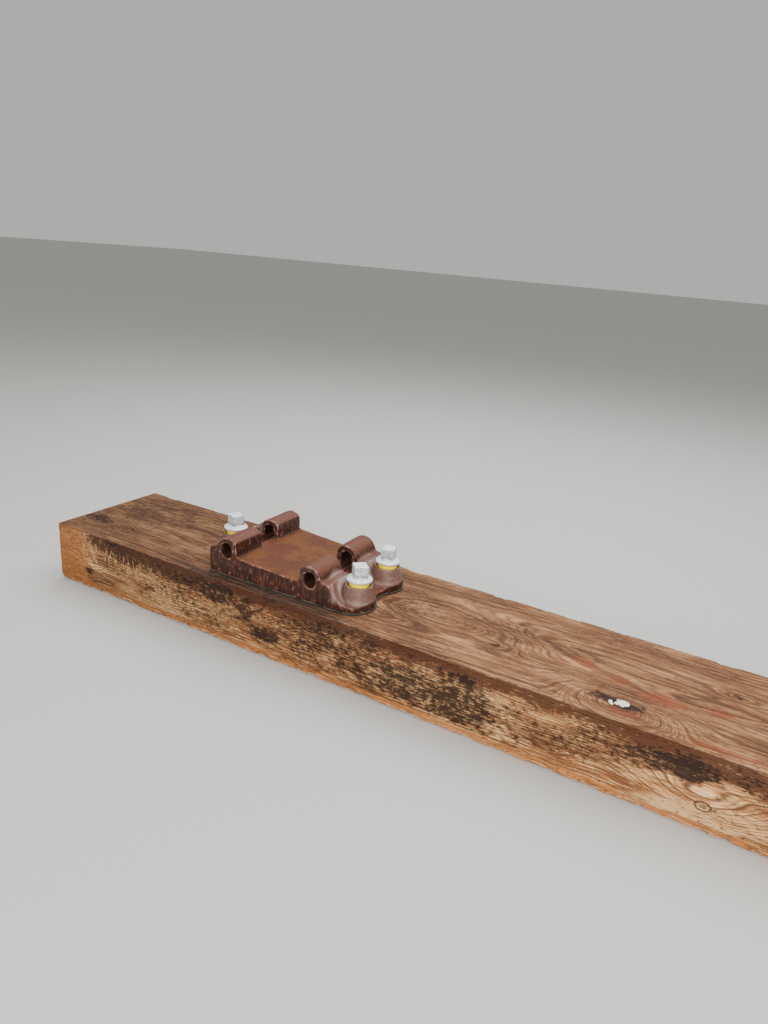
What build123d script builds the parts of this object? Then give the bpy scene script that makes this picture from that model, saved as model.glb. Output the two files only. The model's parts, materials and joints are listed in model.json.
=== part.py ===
from build123d import *
from math import asin, atan2, cos, degrees, hypot, radians, sin, sqrt
import os

os.makedirs("parts", exist_ok=True)

# A plated railway sleeper: one sawn timber that carries two cast baseplates, each on a thin
# pad and held by three screws in ferrules. Millimetres, +X along the timber, +Z up, and the
# origin at the middle of the timber's underside. A baseplate is modelled about the middle of
# its rail seat, with +X towards the middle of the track, and then placed at each end.

# Timber
timber_length = 2600.0
timber_width = 280.0
timber_depth = 130.0
timber_arris = 2.5

# Track
rail_spacing = 1505.0  # from the middle of one rail seat to the middle of the other
plate_offset = 15.5  # the plates sit this far to the front of the timber's middle
seat_fall = 1.0 / 20.0  # the seats lean towards the middle of the track

# Rail seat
seat_length = 141.0  # a 140 mm rail foot and 1 mm of play
seat_height = 37.0  # metal under the middle of the seat
wall_draft = 1.0 / 16.0  # the walls beside the seat lean back by this much, more than the seat does

# Outline of the baseplate
plate_width = 210.0
outer_reach = 135.5  # from the middle of the seat to the plate's square outer end
corner_radius = 4.0
flange_height = 10.0
outer_lobe_radius = 35.0
outer_lobe_blend = 20.0
inner_lobe_reach = 155.5
inner_lobe_radius = 46.0
lobe_notch_radius = 50.0

# Clip housings and the ledges that the clips' heels bear on
housing_width = 47.0
housing_radius = 26.5
housing_rise = 8.5  # from the edge of the seat up to the middle of the housing's arch
housing_edge = 1.6  # rounding round the two ends of an arch
housing_gap = 51.0
tunnel_width = 22.0
tunnel_height = 30.0
tunnel_edge = 1.5  # rounding round a tunnel's mouth
outer_ledge_height = 52.0
inner_ledge_height = 43.0
inner_ledge_reach = 134.0
ledge_blend = 9.0  # rounding where an arch meets its ledge
ledge_blend_share = 0.8  # a short ledge limits that rounding to this much of its length

# Web between the housings, and the scooped ramps at the ends
outer_web_reach = 112.0
inner_web_reach = 105.0
web_ramp_radius = 34.0
ramp_radius = 60.0

# Screw bosses
outer_screw_reach = 158.5
inner_screw_reach = 170.5
inner_screw_pitch = 105.0
boss_height = 42.5
boss_top_radius = 24.5
boss_foot_radius = 35.0
boss_edge = 1.0
boss_blend = 12.0
recess_radius = 22.0
recess_depth = 2.5

# Pad
pad_thickness = 3.0
pad_margin = 2.0

# Screws and ferrules
shank_radius = 11.0
shank_clearance = 0.3
screw_in_timber = 110.0
bore_spare = 5.0  # the bore in the timber goes this much deeper than the screw
tip_length = 8.0
tip_radius = 5.0
screw_flange_radius = 24.0
screw_flange_edge = 3.5
screw_flange_dome = 8.5
dome_top_radius = 15.0
dome_bulge = 0.5  # how far the dome swells out of a straight cone
head_width = 25.5
head_height = 29.0  # from the underside of the flange to the top of the square
head_corner = 2.0
head_top_chamfer = 1.2
ferrule_radius = 17.0
ferrule_clearance = 0.3
collar_radius = 18.5
collar_stand = 7.0  # the collar stands this far above the boss
collar_chamfer = 1.0
ferrule_short = 1.0  # the ferrule stops this far above the plate's underside

# Heights and places that follow from the sizes above
half_seat = seat_length / 2
half_width = plate_width / 2
half_gap = housing_gap / 2
outer_seat_height = seat_height + half_seat * seat_fall
inner_seat_height = seat_height - half_seat * seat_fall
housing_middle = half_seat + housing_width - housing_radius
tunnel_middle = half_seat + housing_width / 2
housing_end = half_seat + housing_width
lobe_side = inner_screw_pitch / 2
outer_tip = outer_screw_reach + outer_lobe_radius
inner_tip = inner_lobe_reach + inner_lobe_radius
clear_above = max(outer_ledge_height, outer_seat_height + housing_rise + housing_radius) + 10
clear_beside = half_width + 10
screw_seat = boss_height + collar_stand
plate_base = timber_depth + pad_thickness
screw_points = [
    ("outer", -outer_screw_reach, 0.0, -22.0),
    ("inner_front", inner_screw_reach, -lobe_side, 44.0),
    ("inner_back", inner_screw_reach, lobe_side, 17.0),
]


def wall_reach(height, edge_height):
    """How far from the seat's middle the wall beside the seat stands at this height."""
    return half_seat + (height - edge_height) * wall_draft


def ramp_foot(reach, height, radius):
    """How far from the seat's middle a ramp that starts at this edge and height meets the flange."""
    drop = height - flange_height
    return reach + sqrt(radius**2 - (radius - drop) ** 2)


def ramp_middle(reach, height, radius):
    """A point half way round that ramp's arc."""
    foot = ramp_foot(reach, height, radius)
    half_angle = atan2(foot - reach, flange_height + radius - height) / 2
    drop_back = radius * sin(half_angle)
    return foot - drop_back, flange_height + radius * (1 - cos(half_angle))


def plan_half():
    """Draws the front half of the baseplate's outline, from its outer tip to its inner notch."""
    blend_side = sqrt(
        (outer_lobe_radius + outer_lobe_blend) ** 2
        - (outer_screw_reach - outer_reach - outer_lobe_blend) ** 2
    )
    blend_reach = outer_reach + outer_lobe_blend
    blend_angle = degrees(atan2(blend_side, outer_screw_reach - blend_reach))
    CenterArc((-outer_screw_reach, 0), outer_lobe_radius, 180, 180 - blend_angle)
    CenterArc((-blend_reach, -blend_side), outer_lobe_blend, 0, 180 - blend_angle)
    side_run = inner_lobe_reach + outer_reach
    side_drop = half_width - lobe_side
    side_angle = degrees(asin(inner_lobe_radius / hypot(side_run, side_drop)) - atan2(side_drop, side_run))
    notch_reach = inner_lobe_reach + sqrt((inner_lobe_radius + lobe_notch_radius) ** 2 - lobe_side**2)
    notch_angle = degrees(atan2(lobe_side, notch_reach - inner_lobe_reach))
    Polyline(
        (-outer_reach, -blend_side),
        (-outer_reach, -half_width),
        (
            inner_lobe_reach + inner_lobe_radius * sin(radians(-side_angle)),
            -lobe_side - inner_lobe_radius * cos(radians(side_angle)),
        ),
    )
    CenterArc(
        (inner_lobe_reach, -lobe_side),
        inner_lobe_radius,
        -90 - side_angle,
        90 + side_angle + notch_angle,
    )
    CenterArc((notch_reach, 0), lobe_notch_radius, 180 + notch_angle, -notch_angle)


with BuildSketch() as plan:
    with BuildLine():
        plan_half()
        mirror(about=Plane.XZ)
    make_face()
    fillet(plan.vertices().group_by(Axis.Y)[0] + plan.vertices().group_by(Axis.Y)[-1], corner_radius)

# Side view that runs the whole width: flange, square outer end, two ledges, sloping seat and
# the scooped ramp at the inner end
ledge_foot = ramp_foot(inner_ledge_reach, inner_ledge_height, ramp_radius)
with BuildSketch(Plane.XZ) as side:
    with BuildLine():
        Polyline(
            (inner_tip, flange_height),
            (inner_tip, 0),
            (-outer_tip, 0),
            (-outer_tip, flange_height),
            (-outer_reach, flange_height),
            (-outer_reach, outer_ledge_height),
            (-wall_reach(outer_ledge_height, outer_seat_height), outer_ledge_height),
            (-half_seat, outer_seat_height),
            (half_seat, inner_seat_height),
            (wall_reach(inner_ledge_height, inner_seat_height), inner_ledge_height),
            (inner_ledge_reach, inner_ledge_height),
        )
        ThreePointArc(
            (inner_ledge_reach, inner_ledge_height),
            ramp_middle(inner_ledge_reach, inner_ledge_height, ramp_radius),
            (ledge_foot, flange_height),
        )
        Line((ledge_foot, flange_height), (inner_tip, flange_height))
    make_face()

# Arched ends of the four clip housings, each blended into the ledge behind it
with BuildSketch(Plane.XZ) as arches:
    for end, edge_height, ledge_height, ledge_reach in (
        (-1, outer_seat_height, outer_ledge_height, outer_reach),
        (1, inner_seat_height, inner_ledge_height, inner_ledge_reach),
    ):
        with Locations((end * housing_middle, edge_height + housing_rise)):
            Circle(housing_radius)
        with Locations((end * (half_seat + housing_width / 2), (edge_height + housing_rise) / 2)):
            Rectangle(housing_width, edge_height + housing_rise)
        with Locations((end * (housing_middle + ledge_reach) / 2, ledge_height / 2)):
            Rectangle(ledge_reach - housing_middle, ledge_height)
        blend = min(ledge_blend, ledge_blend_share * (ledge_reach - housing_end))
        fillet(arches.vertices().sort_by_distance((end * housing_end, ledge_height))[0], blend)
    with BuildLine():
        Polyline(
            (-half_seat, outer_seat_height),
            (half_seat, inner_seat_height),
            (wall_reach(clear_above, inner_seat_height), clear_above),
            (-wall_reach(clear_above, outer_seat_height), clear_above),
            close=True,
        )
    make_face(mode=Mode.SUBTRACT)

# What is open above the web between the front and back housings
with BuildSketch(Plane.XZ) as above_web:
    with BuildLine():
        outer_foot = -ramp_foot(outer_web_reach, outer_seat_height, web_ramp_radius)
        inner_foot = ramp_foot(inner_web_reach, inner_seat_height, web_ramp_radius)
        outer_middle = ramp_middle(outer_web_reach, outer_seat_height, web_ramp_radius)
        ThreePointArc(
            (outer_foot, flange_height),
            (-outer_middle[0], outer_middle[1]),
            (-outer_web_reach, outer_seat_height),
        )
        Polyline(
            (-outer_web_reach, outer_seat_height),
            (-half_seat, outer_seat_height),
            (half_seat, inner_seat_height),
            (inner_web_reach, inner_seat_height),
        )
        ThreePointArc(
            (inner_web_reach, inner_seat_height),
            ramp_middle(inner_web_reach, inner_seat_height, web_ramp_radius),
            (inner_foot, flange_height),
        )
        Polyline(
            (inner_foot, flange_height),
            (inner_tip, flange_height),
            (inner_tip, clear_above),
            (-outer_tip, clear_above),
            (-outer_tip, flange_height),
            (outer_foot, flange_height),
        )
    make_face()

# Cored tunnels that take the clips' legs
with BuildSketch(Plane.XZ) as tunnels:
    for end, edge_height in ((-1, outer_seat_height), (1, inner_seat_height)):
        with Locations((end * tunnel_middle, edge_height + housing_rise)):
            SlotOverall(tunnel_height, tunnel_width, rotation=90)

# Boss round a screw: a tapered pillar that sweeps out into the flange
boss_waist = boss_foot_radius + (boss_top_radius - boss_foot_radius) * flange_height / boss_height
boss_spread = boss_waist + 1.5 * boss_blend
with BuildPart() as boss:
    with BuildSketch(Plane.XZ) as boss_half:
        with BuildLine():
            Polyline(
                (0, 0),
                (boss_spread, 0),
                (boss_spread, flange_height),
                (boss_waist, flange_height),
                (boss_top_radius, boss_height),
                (0, boss_height),
                close=True,
            )
        make_face()
        fillet(boss_half.vertices().sort_by_distance((boss_waist, flange_height))[0], boss_blend)
        chamfer(boss_half.vertices().sort_by_distance((boss_top_radius, boss_height))[0], boss_edge)
    revolve(axis=Axis.Z)

with BuildPart() as baseplate:
    extrude(side.sketch, amount=clear_beside, both=True)
    extrude(arches.sketch, amount=clear_beside, both=True)
    extrude(above_web.sketch, amount=half_gap, both=True, mode=Mode.SUBTRACT)
    with Locations([(reach, side_place) for name, reach, side_place, turn in screw_points]):
        add(boss.part)
    extrude(plan.sketch, amount=clear_above, mode=Mode.INTERSECT)
    extrude(tunnels.sketch, amount=clear_beside, both=True, mode=Mode.SUBTRACT)
    for name, reach, side_place, turn in screw_points:
        with Locations((reach, side_place, boss_height)):
            CounterBoreHole(ferrule_radius + ferrule_clearance, recess_radius, recess_depth)
    crowns = [
        face
        for face in baseplate.faces().filter_by(GeomType.CYLINDER)
        if abs(face.radius - housing_radius) < housing_edge / 10
    ]
    rims = [edge for face in crowns for edge in face.edges() if edge.geom_type != GeomType.LINE]
    fillet(rims, housing_edge)
    plate_sides = [
        face
        for face in baseplate.faces().filter_by(GeomType.PLANE)
        if abs(face.normal_at().Y) > cos(radians(10))
    ]
    mouths = [edge for face in plate_sides for wire in face.inner_wires() for edge in wire.edges()]
    fillet(mouths, tunnel_edge)

# Pad: the plate's outline, a little larger, with a hole for each screw
with BuildPart() as pad:
    with BuildSketch():
        offset(plan.sketch, amount=pad_margin)
    extrude(amount=pad_thickness)
    for name, reach, side_place, turn in screw_points:
        with Locations((reach, side_place, pad_thickness)):
            Hole(shank_radius + shank_clearance)

# Ferrule: a collar that stands in the boss's recess, and a sleeve down the plate's hole
ferrule_foot = ferrule_short
ferrule_shelf = boss_height - recess_depth
with BuildPart() as ferrule:
    with BuildSketch(Plane.XZ):
        with BuildLine():
            Polyline(
                (shank_radius + shank_clearance, ferrule_foot),
                (ferrule_radius - collar_chamfer, ferrule_foot),
                (ferrule_radius, ferrule_foot + collar_chamfer),
                (ferrule_radius, ferrule_shelf),
                (collar_radius, ferrule_shelf),
                (collar_radius, screw_seat - collar_chamfer),
                (collar_radius - collar_chamfer, screw_seat),
                (shank_radius + shank_clearance, screw_seat),
                close=True,
            )
        make_face()
    revolve(axis=Axis.Z)

# Screw: a square head on a domed flange, and a plain shank with a tapered tip
screw_foot = -pad_thickness - screw_in_timber
with BuildPart() as screw:
    with BuildSketch(Plane.XZ):
        with BuildLine():
            Polyline(
                (dome_top_radius, screw_seat + screw_flange_dome),
                (0, screw_seat + screw_flange_dome),
                (0, screw_foot),
                (tip_radius, screw_foot),
                (shank_radius, screw_foot + tip_length),
                (shank_radius, screw_seat),
                (screw_flange_radius, screw_seat),
                (screw_flange_radius, screw_seat + screw_flange_edge),
            )
            ThreePointArc(
                (screw_flange_radius, screw_seat + screw_flange_edge),
                (
                    (screw_flange_radius + dome_top_radius) / 2 + dome_bulge,
                    screw_seat + (screw_flange_edge + screw_flange_dome) / 2 + dome_bulge,
                ),
                (dome_top_radius, screw_seat + screw_flange_dome),
            )
        make_face()
    revolve(axis=Axis.Z)
    with BuildSketch(Plane.XY.offset(screw_seat + screw_flange_edge)):
        RectangleRounded(head_width, head_width, head_corner)
    extrude(amount=head_height - screw_flange_edge)
    chamfer(screw.faces().sort_by(Axis.Z)[-1].edges(), head_top_chamfer)

# Timber: sawn square, arrises worn, with a blind bore under each screw
with BuildPart() as timber:
    Box(
        timber_length,
        timber_width,
        timber_depth,
        align=(Align.CENTER, Align.CENTER, Align.MIN),
    )
    chamfer(timber.edges().filter_by(Axis.X), timber_arris)
    for end in (-1, 1):
        for name, reach, side_place, turn in screw_points:
            with Locations((end * (rail_spacing / 2 - reach), side_place - plate_offset, timber_depth)):
                Hole(shank_radius + shank_clearance, depth=screw_in_timber + bore_spare)
timber.part.label = "timber"
export_step(timber.part, "parts/timber.step")

# Each end of the timber has a plate, its pad, three ferrules and three screws. The right-hand
# set is the left-hand one turned half round, so both seats lean to the middle of the track.
for end_name, end in (("left", -1), ("right", 1)):
    facing = 0 if end < 0 else 180
    place = Location((end * rail_spacing / 2, -plate_offset, plate_base), (0, 0, facing))
    under = Location((end * rail_spacing / 2, -plate_offset, timber_depth), (0, 0, facing))
    pieces = [("baseplate", baseplate.part, place), ("pad", pad.part, under)]
    for name, reach, side_place, turn in screw_points:
        spot = place * Location((reach, side_place, 0))
        pieces.append((f"ferrule_{name}", ferrule.part, spot))
        pieces.append((f"screw_{name}", screw.part, spot * Location((0, 0, 0), (0, 0, turn))))
    for name, solid, where in pieces:
        piece = where * solid
        piece.label = f"{name}_{end_name}"
        export_step(piece, f"parts/{name}_{end_name}.step")
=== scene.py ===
"""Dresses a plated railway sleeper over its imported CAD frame.

One sawn softwood timber, weathered and stained, carries two rusty cast baseplates. Each plate lies
on a thin pad and is held by three galvanised screws in yellow ferrules. Sizes are in millimetres
here and in metres in Blender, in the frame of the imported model.
"""

import json
import logging
import math
import random
from collections.abc import Sequence
from dataclasses import dataclass
from enum import Enum

import bmesh
import bpy
import numpy as np
from mathutils import Matrix, Vector, noise

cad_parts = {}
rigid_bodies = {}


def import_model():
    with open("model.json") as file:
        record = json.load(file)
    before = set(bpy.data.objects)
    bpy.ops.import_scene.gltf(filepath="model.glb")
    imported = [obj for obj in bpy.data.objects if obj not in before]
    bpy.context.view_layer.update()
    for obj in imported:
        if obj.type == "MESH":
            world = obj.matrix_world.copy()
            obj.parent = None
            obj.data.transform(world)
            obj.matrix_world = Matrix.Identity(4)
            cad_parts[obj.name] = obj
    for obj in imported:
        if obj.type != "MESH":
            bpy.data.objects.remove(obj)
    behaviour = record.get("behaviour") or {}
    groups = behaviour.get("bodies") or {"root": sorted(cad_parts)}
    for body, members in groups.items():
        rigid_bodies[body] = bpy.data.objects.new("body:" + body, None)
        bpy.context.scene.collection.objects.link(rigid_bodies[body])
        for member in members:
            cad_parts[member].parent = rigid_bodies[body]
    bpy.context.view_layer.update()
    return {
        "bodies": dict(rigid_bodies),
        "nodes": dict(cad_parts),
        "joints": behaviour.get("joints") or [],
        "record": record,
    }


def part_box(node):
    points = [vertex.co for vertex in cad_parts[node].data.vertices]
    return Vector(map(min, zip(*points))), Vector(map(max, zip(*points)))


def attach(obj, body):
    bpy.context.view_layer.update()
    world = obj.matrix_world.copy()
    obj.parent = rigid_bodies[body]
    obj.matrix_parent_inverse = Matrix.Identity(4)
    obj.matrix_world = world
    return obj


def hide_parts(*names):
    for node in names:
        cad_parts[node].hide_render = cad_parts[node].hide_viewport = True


MM = 0.001
BODY = "root"
# How far each screw's square head is turned, in degrees, by its place on the plate.
HEAD_TURNS = {"outer": -22.0, "inner_front": 44.0, "inner_back": 17.0}
log = logging.getLogger("sleeper")

Socket = bpy.types.NodeSocket
Pattern = Socket | float
Material = bpy.types.Material
Colour = tuple[float, float, float, float]


class Face(Enum):
    """The sides of the timber, in the order of its material slots."""

    TOP = 0
    FRONT = 1
    BACK = 2
    UNDERSIDE = 3
    END = 4


def linear(hex_colour: str) -> Colour:
    """Turns an sRGB hex colour into linear light.

    Args:
        hex_colour: six hex digits, such as "8a5238".

    Returns:
        Red, green, blue and a full alpha, linear.
    """
    parts = [int(hex_colour[i : i + 2], 16) / 255 for i in (0, 2, 4)]
    red, green, blue = (p / 12.92 if p <= 0.04045 else ((p + 0.055) / 1.055) ** 2.4 for p in parts)
    return red, green, blue, 1.0


def smooth(value: float, low: float, high: float) -> float:
    """Eases from 0 at low to 1 at high, and stays there beyond them."""
    t = min(1.0, max(0.0, (value - low) / (high - low)))
    return t * t * (3 - 2 * t)


def ripple(x: float, y: float, z: float, seed: float = 0.0) -> float:
    """Smooth noise from -1 to 1 at a point in units of the noise's own grain."""
    return noise.noise(Vector((x + seed, y - seed, z + 2 * seed)))


class Finish:
    """One material's node tree, and the ways that nodes are added to it."""

    def __init__(self, name: str) -> None:
        """Starts a material with an empty node tree.

        Args:
            name: the material's name.
        """
        self.material = bpy.data.materials.new(name)
        self.material.use_nodes = True
        self.tree = self.material.node_tree
        self.tree.nodes.clear()
        place = self.add("TexCoord", output=3)
        self.mm = self.add("VectorMath SCALE", place, sockets={"Scale": 1 / MM})

    def add(
        self,
        kind: str,
        *values: object,
        sockets: dict[int | str, object] | None = None,
        stops: Sequence[tuple[float, str]] = (),
        output: int = 0,
        **settings: object,
    ) -> Socket | None:
        """Adds a node with its settings and links.

        Args:
            kind: the node's type, without the leading ShaderNode, and its operation if it has one.
            values: what goes into the first inputs in turn, None to leave one alone.
            sockets: what goes into further inputs, by index or name.
            stops: places and hex colours of a colour ramp.
            output: index of the output to give back.
            settings: properties of the node.

        Returns:
            The chosen output socket, or None where the node has none.
        """
        kind, _, operation = kind.partition(" ")
        if operation:
            settings["operation"] = operation
        made = self.tree.nodes.new("ShaderNode" + kind)
        for name, value in settings.items():
            setattr(made, name, value)
        if stops:
            ramp = made.color_ramp.elements
            while len(ramp) < len(stops):
                ramp.new(1.0)
            for element, (where, colour) in zip(ramp, stops):
                element.position = where
                element.color = linear(colour)
        for key, value in (dict(enumerate(values)) | (sockets or {})).items():
            if isinstance(value, Socket):
                self.tree.links.new(value, made.inputs[key])
            elif isinstance(value, str):
                made.inputs[key].default_value = linear(value)
            elif value is not None:
                made.inputs[key].default_value = value
        return made.outputs[output] if made.outputs else None

    def ease(
        self, value: Pattern, low: float, high: float, start: float = 0.0, stop: float = 1.0
    ) -> Socket:
        """Maps low and high to start and stop, rounded off at both and level beyond them."""
        return self.add("MapRange", value, low, high, start, stop, interpolation_type="SMOOTHSTEP")

    def fractal(
        self, place: Socket, size: float, detail: float | None = None, roughness: float | None = None
    ) -> Socket:
        """Adds noise at a place in millimetres, its coarsest grain about the given size."""
        return self.add("TexNoise", place, None, 1 / size, detail, roughness)

    def gap(self, value: Socket, middle: Pattern) -> Socket:
        """Says how far a value is from a middle one, whichever way."""
        return self.add("Math ABSOLUTE", self.add("Math SUBTRACT", value, middle))

    def product(self, first: Pattern, *others: Pattern) -> Socket:
        """Multiplies patterns in turn."""
        for other in others:
            first = self.add("Math MULTIPLY", first, other)
        return first

    def paint(self, colour: object, *layers: tuple[Pattern, object]) -> Socket:
        """Lays colours over a first one in turn.

        Args:
            colour: the colour at the bottom.
            layers: for each layer, how far it covers what lies under it, and its colour.

        Returns:
            The colour on top.
        """
        for cover, over in layers:
            # A Mix has its colours in inputs 6 and 7, and gives its result in output 2.
            sockets = {6: colour, 7: over}
            colour = self.add("Mix", cover, sockets=sockets, output=2, data_type="RGBA")
        return colour

    def facing(self) -> Socket:
        """Says how far up the surface faces, from -1 to 1."""
        return self.add("SeparateXYZ", self.add("NewGeometry", output=1), output=2)

    def close(
        self, colour: object, roughness: Pattern, height: Socket, relief: float, **constants: float
    ) -> Material:
        """Joins the patterns to a shader.

        Args:
            colour: base colour.
            roughness: roughness.
            height: bump height, in units of the relief.
            relief: what a height of 1 stands for, in millimetres.
            constants: values set on the shader's own sockets, with underscores for spaces.

        Returns:
            The finished material.
        """
        bump = self.add("Bump", sockets={"Distance": relief * MM, "Height": height})
        named = {name.replace("_", " "): value for name, value in constants.items()}
        inputs = {"Base Color": colour, "Roughness": roughness, "Normal": bump} | named
        self.add("OutputMaterial", self.add("BsdfPrincipled", sockets=inputs))
        return self.material


@dataclass(frozen=True)
class Knot:
    """A branch in the timber: its place and radius, and how far and how much rings bend round it."""

    face: Face
    x: float
    y: float
    z: float
    radius: float
    reach: float
    bulge: float


@dataclass(frozen=True)
class Spot:
    """A soft patch on one face: its middle and half sizes in that face, and how strong it is."""

    face: Face
    along: float
    up: float
    half_along: float
    half_up: float
    strength: float


def on(kind: type, face: Face, *rows: tuple[float, ...]) -> tuple:
    """Makes one knot or patch on a face from each row of its other fields."""
    return tuple(kind(face, *row) for row in rows)


@dataclass(frozen=True)
class Rings:
    """The sockets that tell a timber finish where its growth rings, fibres and knots are."""

    turn: Socket
    late: Socket
    tone: Socket
    fibre: Socket
    heart: Pattern
    bark: Pattern
    bent: Socket


@dataclass(frozen=True)
class GrowthRings:
    """Softwood growth rings round a pith that lies under the sawn section.

    Every face cuts the same rings. They are nearly level under the top, which shows wide arches, and
    cross the front, which shows close straight lines.
    """

    pith_y: float = 5.0
    pith_z: float = -105.0
    spacing: float = 4.3
    wander: float = 34.0
    flutter: float = 3.5
    along: float = 0.38
    along_heart: float = 0.7
    inner_ring: float = 0.42
    knots: tuple[Knot, ...] = (
        on(
            Knot, Face.FRONT,
            (-1207, -140, 42, 6, 26, 12), (-777, -140, 78, 10, 56, 34), (-190, -140, 32, 5, 26, 10),
            (35, -140, 42, 9, 58, 30), (520, -140, 72, 12, 50, 24), (1010, -140, 40, 10, 42, 18),
        )
        + on(
            Knot, Face.TOP,
            (-108, -92, 130, 9, 58, 38), (-1256, -61, 130, 9, 50, 26), (-440, -5, 130, 0.1, 90, 30),
            (-324, -45, 130, 3, 24, 7), (49, 40, 130, 3, 24, 7), (430, 20, 130, 10, 54, 26),
            (1150, -70, 130, 9, 44, 20),
        )
        + on(
            Knot, Face.BACK,
            (-900, 140, 60, 13, 50, 24), (-250, 140, 45, 11, 44, 18), (640, 140, 85, 14, 52, 26),
        )
        + on(Knot, Face.UNDERSIDE, (-500, 0, 0, 12, 50, 24), (300, 60, 0, 12, 50, 24))
    )

    def draw(self, finish: Finish, face: Face) -> Rings:
        """Adds the rings to a finish.

        Args:
            finish: the material that gets them.
            face: the side of the timber, which says which knots it shows.

        Returns:
            The sockets that the finish colours from.
        """
        add, ease, fractal = finish.add, finish.ease, finish.fractal
        gap, product = finish.gap, finish.product
        # The grain wanders over 120 mm and flutters over 20 mm, both five times as long along it.
        long_way = add("VectorMath MULTIPLY", finish.mm, (0.2, 1, 1))
        moved: object = (0, 0, 0)
        sways = ((120, 2.0, 0.5, self.wander), (20, 3.0, 0.55, self.flutter))
        for size, detail, roughness, amount in sways:
            sway = add("TexNoise", long_way, None, 1 / size, detail, roughness, output=1)
            sway = add("VectorMath SUBTRACT", sway, (0.5, 0.5, 0.5))
            moved = add("VectorMath MULTIPLY_ADD", sway, (amount,) * 3, moved)
        bent = add("VectorMath ADD", finish.mm, moved)
        flat = add("VectorMath MULTIPLY", bent, (0, 1, 1))
        pith = (0, self.pith_y, self.pith_z)
        far = add("VectorMath DISTANCE", flat, pith, output=1)
        squeezed = add("VectorMath MULTIPLY", bent, (self.along, 1, 1))
        rounder = add("VectorMath MULTIPLY", bent, (self.along_heart, 1, 1))
        heart: Pattern = 0.0
        bark: Pattern = 0.0
        for knot in self.knots:
            if knot.face is not face:
                continue
            middle = (knot.x * self.along, knot.y, knot.z)
            away = add("VectorMath DISTANCE", squeezed, middle, output=1)
            bulge = ease(away, knot.reach, 0.0, 0.0, knot.bulge)
            middle = (knot.x * self.along_heart, knot.y, knot.z)
            core = add("VectorMath DISTANCE", rounder, middle, output=1)
            inside = ease(core, knot.radius * 1.1, knot.radius * 0.9)
            # Dark bark lines the knot's edge, and a broader ring lies inside it.
            rim = gap(core, knot.radius)
            inner = gap(core, self.inner_ring * knot.radius)
            inner = product(inner, 0.5)
            rim = add("Math MINIMUM", rim, inner)
            rim = ease(rim, 1.4, 0.3, 0.0, 0.72)
            far = add("Math ADD", far, bulge)
            far = add("Mix", inside, sockets={2: far, 3: core}, data_type="FLOAT")
            heart = add("Math MAXIMUM", heart, inside)
            bark = add("Math MAXIMUM", bark, rim)
        turn = add("Math DIVIDE", far, self.spacing)
        # Each ring darkens slowly towards its late wood and ends sharply.
        shades = ((0.0, "000000"), (0.35, "202020"), (0.62, "c8c8c8"), (0.86, "ffffff"), (0.97, "000000"))
        late = add("ValToRGB", add("Math FRACT", turn), stops=shades)
        number = add("Math FLOOR", turn)
        tone = add("TexWhiteNoise", sockets={1: number}, noise_dimensions="1D")
        strands = add("VectorMath MULTIPLY", bent, (0.06, 1, 1))
        fibre = fractal(strands, 2.8, 4.0, 0.7)
        broken = fractal(finish.mm, 5, 3.0, 0.6)
        broken = ease(broken, 0.4, 0.6, 0.45, 1.0)
        bark = product(bark, broken)
        return Rings(turn, late, tone, fibre, heart, bark, bent)

    def cracks(self, finish: Finish, bent: Socket) -> Socket:
        """Adds the drying cracks that run out from the pith across an end.

        Args:
            finish: the material that gets them.
            bent: the bent position in millimetres.

        Returns:
            How deep in a crack a point is, from 0 to 1.
        """
        add, ease = finish.add, finish.ease
        out = add("VectorMath SUBTRACT", bent, (0, self.pith_y, self.pith_z))
        parts = add("SeparateXYZ", out).node.outputs
        angle = add("Math ARCTAN2", parts[1], parts[2])
        ray = add("TexNoise", sockets={1: angle, 2: 9.0, 3: 2.0}, noise_dimensions="1D")
        ray = finish.gap(ray, 0.5)
        thin = ease(ray, 0.012, 0.004, 0.0, 0.85)
        broken = finish.fractal(finish.mm, 30, 2.0)
        broken = ease(broken, 0.45, 0.55)
        return finish.product(thin, broken)


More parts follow.
